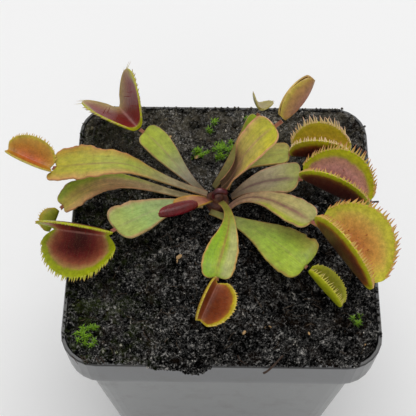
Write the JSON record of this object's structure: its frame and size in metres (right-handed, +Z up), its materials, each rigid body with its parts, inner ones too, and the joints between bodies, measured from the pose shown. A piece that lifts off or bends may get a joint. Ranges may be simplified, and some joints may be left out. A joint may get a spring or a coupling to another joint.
{
  "type": "potted venus flytrap",
  "caption": "Venus flytrap rosette with open and closed toothed traps, growing in dark peat in a square black nursery pot.",
  "frame": {"origin": "middle of the pot's underside, on the surface that it stands on", "axes": "+Z up out of the pot, +Y to the back, away from the viewer, and +X to the viewer's right"},
  "size_m": [0.1103, 0.0916, 0.1385],
  "materials": {
    "pot": "black polypropylene, satin, slightly dusty",
    "peat": null,
    "crown": "brown leaf bases, matt",
    "young_leaf": "dark red young growth, waxy",
    "leaf_green": "green leaf stalk with a pink edge, waxy",
    "leaf_bronze": "bronze leaf stalk, waxy",
    "trap_maroon": "maroon lobes with a lime margin, waxy",
    "trap_orange": "orange lobes with a lime margin, waxy",
    "trap_lime": "lime lobes, waxy",
    "moss": "bright green moss tufts"
  },
  "bodies": {
    "root": {"pot": "pot", "soil": "peat", "crown": "crown", "young_leaf": "young_leaf", "moss_1": "moss", "moss_2": "moss", "moss_3": "moss", "moss_4": "moss", "moss_5": "moss", "moss_6": "moss", "leaf_01": "leaf_green", "leaf_02": "leaf_green", "leaf_03": "leaf_green", "leaf_04": "leaf_green", "leaf_05": "leaf_bronze", "leaf_06": "leaf_green", "leaf_07": "leaf_green", "leaf_08": "leaf_green", "leaf_09": "leaf_green", "leaf_10": "leaf_green", "leaf_11": "leaf_bronze", "leaf_12": "leaf_green", "trap_01": "trap_maroon", "trap_02": "trap_orange", "trap_03": "trap_lime", "trap_04": "trap_maroon", "trap_05": "young_leaf", "trap_06": "trap_maroon", "trap_07": "trap_lime", "trap_08": "trap_lime", "trap_09": "trap_maroon", "trap_10": "trap_lime", "trap_11": "trap_orange", "trap_12": "trap_lime"}
  },
  "joints": []
}
